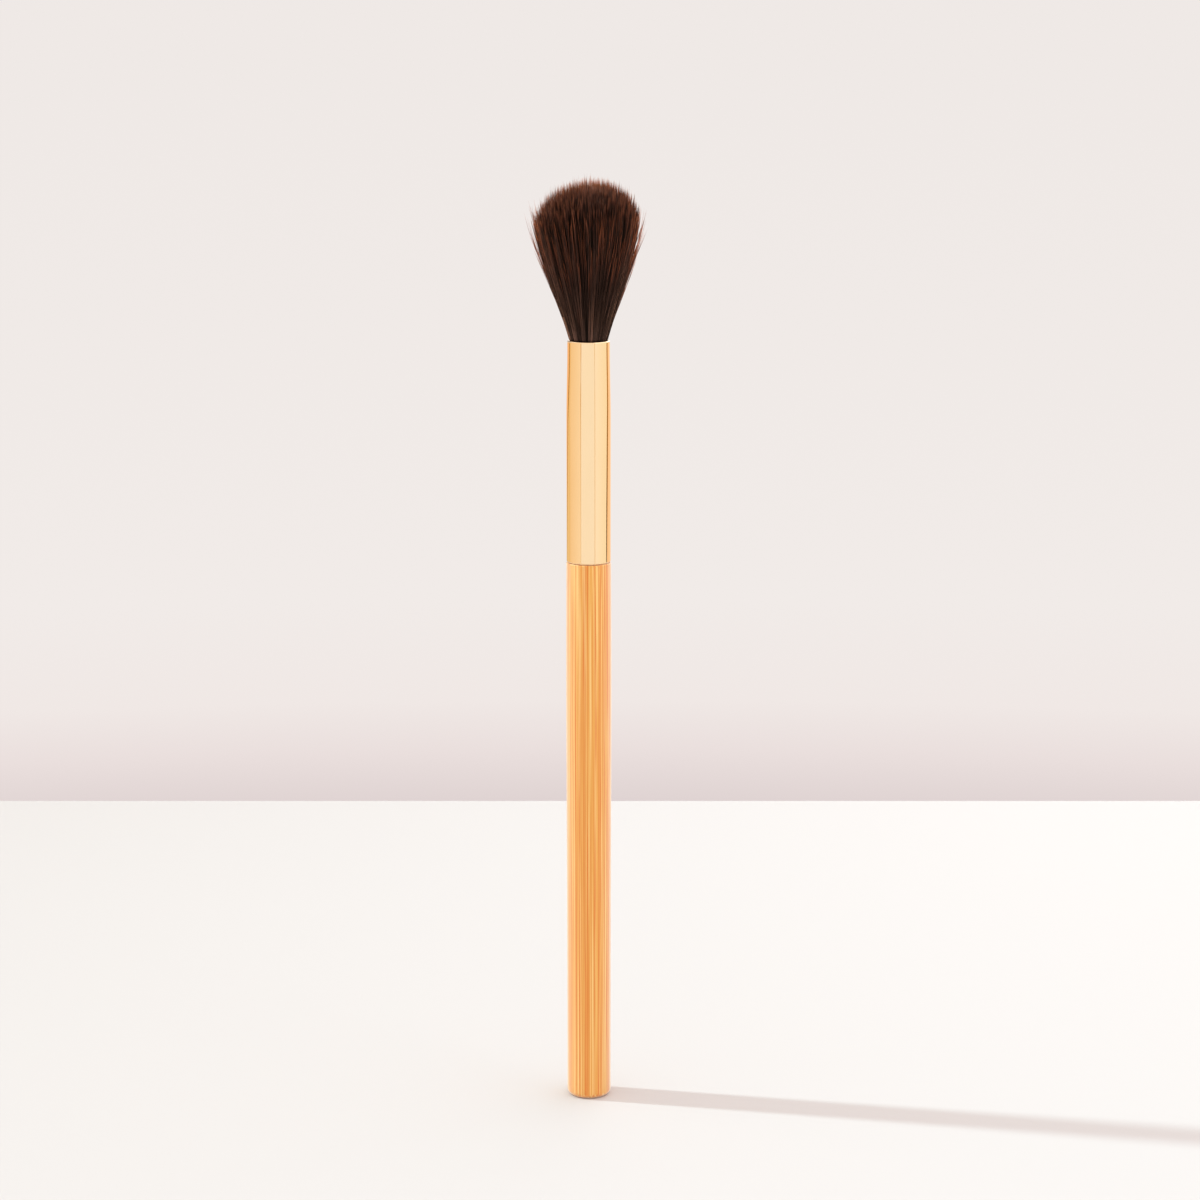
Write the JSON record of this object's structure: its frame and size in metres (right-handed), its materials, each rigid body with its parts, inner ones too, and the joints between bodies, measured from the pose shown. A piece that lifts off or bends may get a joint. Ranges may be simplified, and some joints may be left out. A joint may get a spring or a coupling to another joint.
{
  "type": "highlighter brush",
  "caption": "Slim make-up brush with a turned bamboo handle, a polished gold ferrule that narrows to its mouth, and a flared, domed tuft of brown filaments.",
  "frame": {"origin": "middle of the flat butt face of the handle, on which the brush stands", "axes": "+Z along the handle towards the tip of the tuft; the brush is round, so X and Y are free, and -Y faces the picture's camera"},
  "size_m": [0.0204, 0.0203, 0.1801],
  "materials": {
    "bamboo": "fine straight bamboo fibre under a thin satin lacquer",
    "gold_metal": "mirror-polished, gold-coloured metal",
    "filament": "dark brown tapered filaments with reddish translucent tips",
    "resin": "clear amber cast resin",
    "thread": "natural twisted thread",
    "adhesive": "set clear adhesive"
  },
  "bodies": {
    "root": {"handle": "bamboo", "ferrule": "gold_metal", "bristle_tuft": "filament", "root_plug": "resin", "binding_thread": "thread", "glue_ring_1": "adhesive", "glue_ring_2": "adhesive", "glue_ring_3": "adhesive"}
  },
  "joints": []
}
